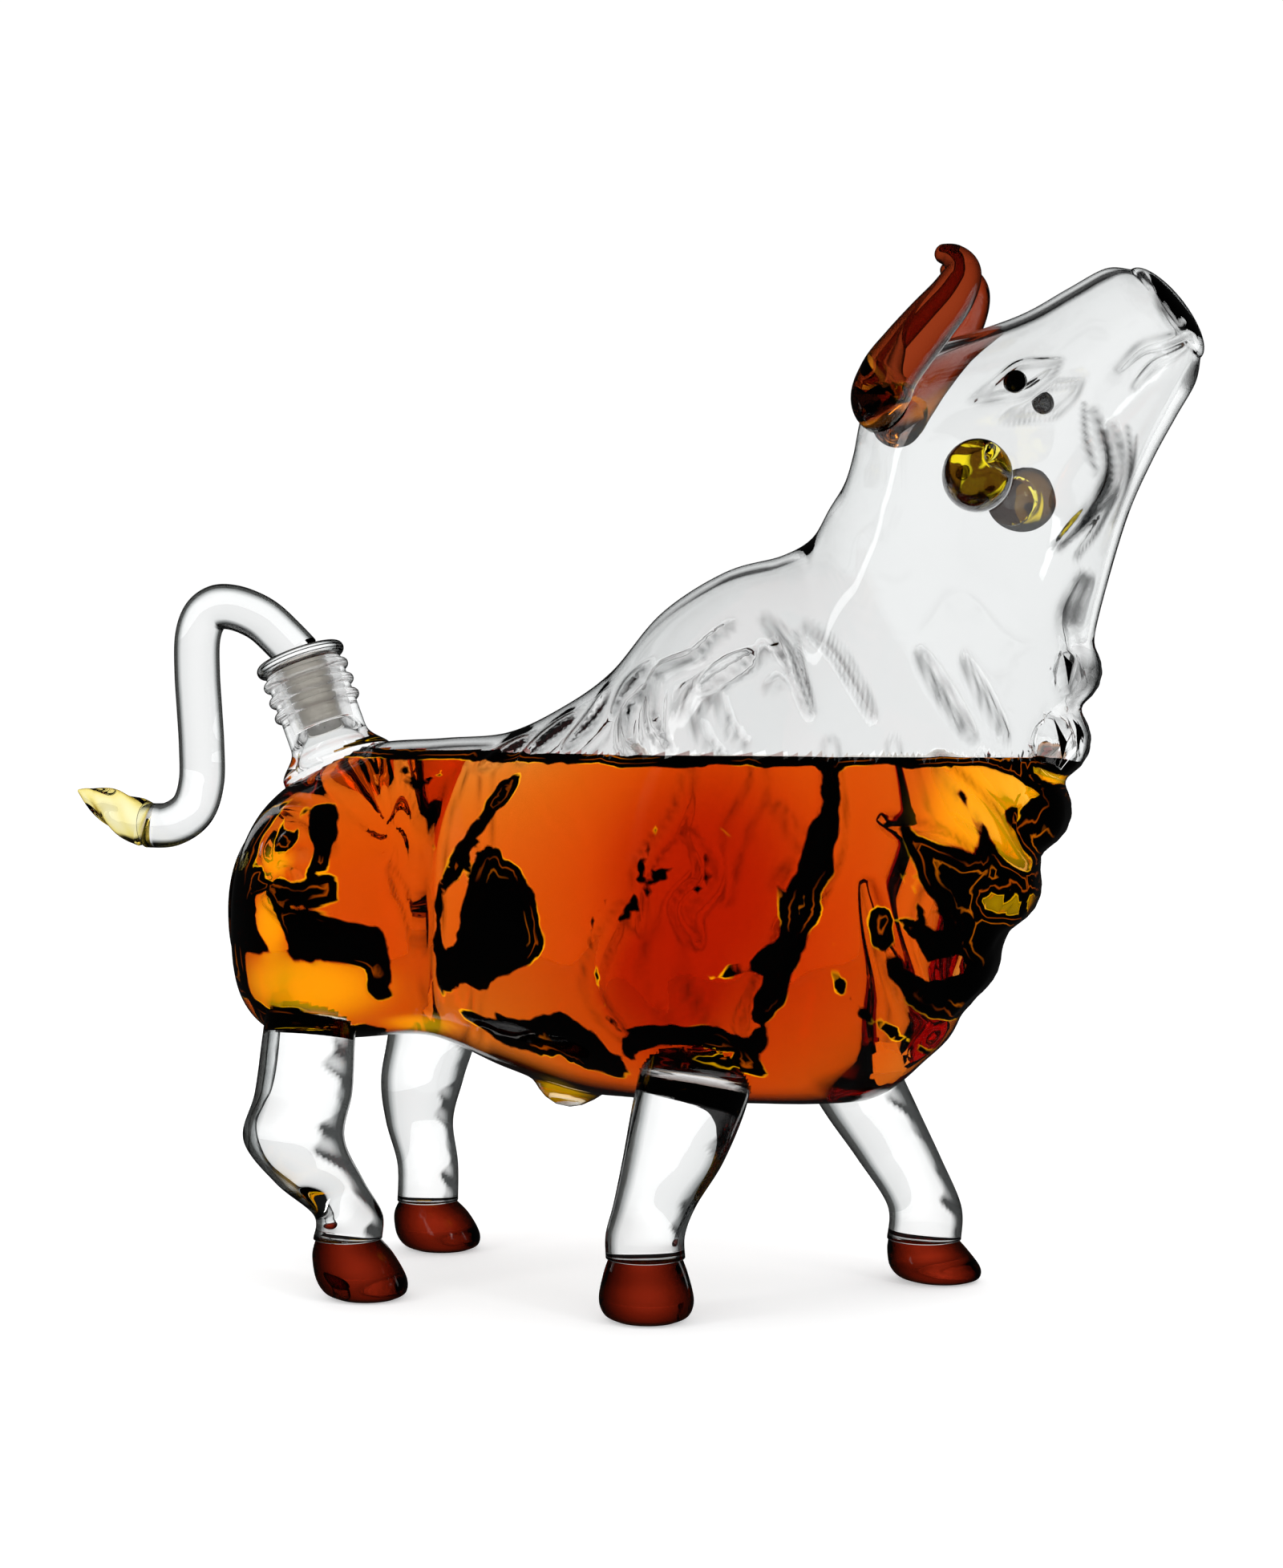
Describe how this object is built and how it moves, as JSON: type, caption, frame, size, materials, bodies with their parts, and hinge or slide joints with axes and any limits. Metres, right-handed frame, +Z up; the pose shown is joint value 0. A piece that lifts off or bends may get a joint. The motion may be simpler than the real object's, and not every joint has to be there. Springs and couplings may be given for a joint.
{
  "type": "figural liquor decanter",
  "caption": "Blown-glass liquor decanter shaped as a standing bull, with fused amber horns, ears and hooves and a ground stopper in the rump that lifts out by its tail handle.",
  "frame": {"origin": "on the resting surface under the middle of the overall box, between the hooves", "axes": "+X towards the head, +Y to the bull's left, +Z up"},
  "size_m": [0.2994, 0.0932, 0.2564],
  "materials": {
    "clear_glass": "fire polished",
    "ground_glass": "ground matte on the seat",
    "yellow_glass": "fire polished",
    "red_amber_glass": "fire polished",
    "amber_glass": "fire polished",
    "black_glass": "fire polished"
  },
  "bodies": {
    "vessel": {"barrel_shell": "clear_glass", "head_shell": "clear_glass", "bottle_neck": "clear_glass", "leg_front_right": "clear_glass", "leg_front_left": "clear_glass", "leg_rear_right": "clear_glass", "leg_rear_left": "clear_glass", "horn_right": "red_amber_glass", "horn_left": "red_amber_glass", "ear_right": "amber_glass", "ear_left": "amber_glass", "eye_right": "black_glass", "eye_left": "black_glass", "hoof_front_right": "red_amber_glass", "hoof_front_left": "red_amber_glass", "hoof_rear_right": "red_amber_glass", "hoof_rear_left": "red_amber_glass"},
    "stopper": {"stopper_plug": "ground_glass", "tail_rod": "clear_glass", "tail_tuft": "yellow_glass"}
  },
  "joints": [
    {"name": "stopper_lift", "type": "slide", "parent": "vessel", "child": "stopper", "axis": [-0.3665, 0, 0.9304], "range_m": [0, 0.03]}
  ]
}
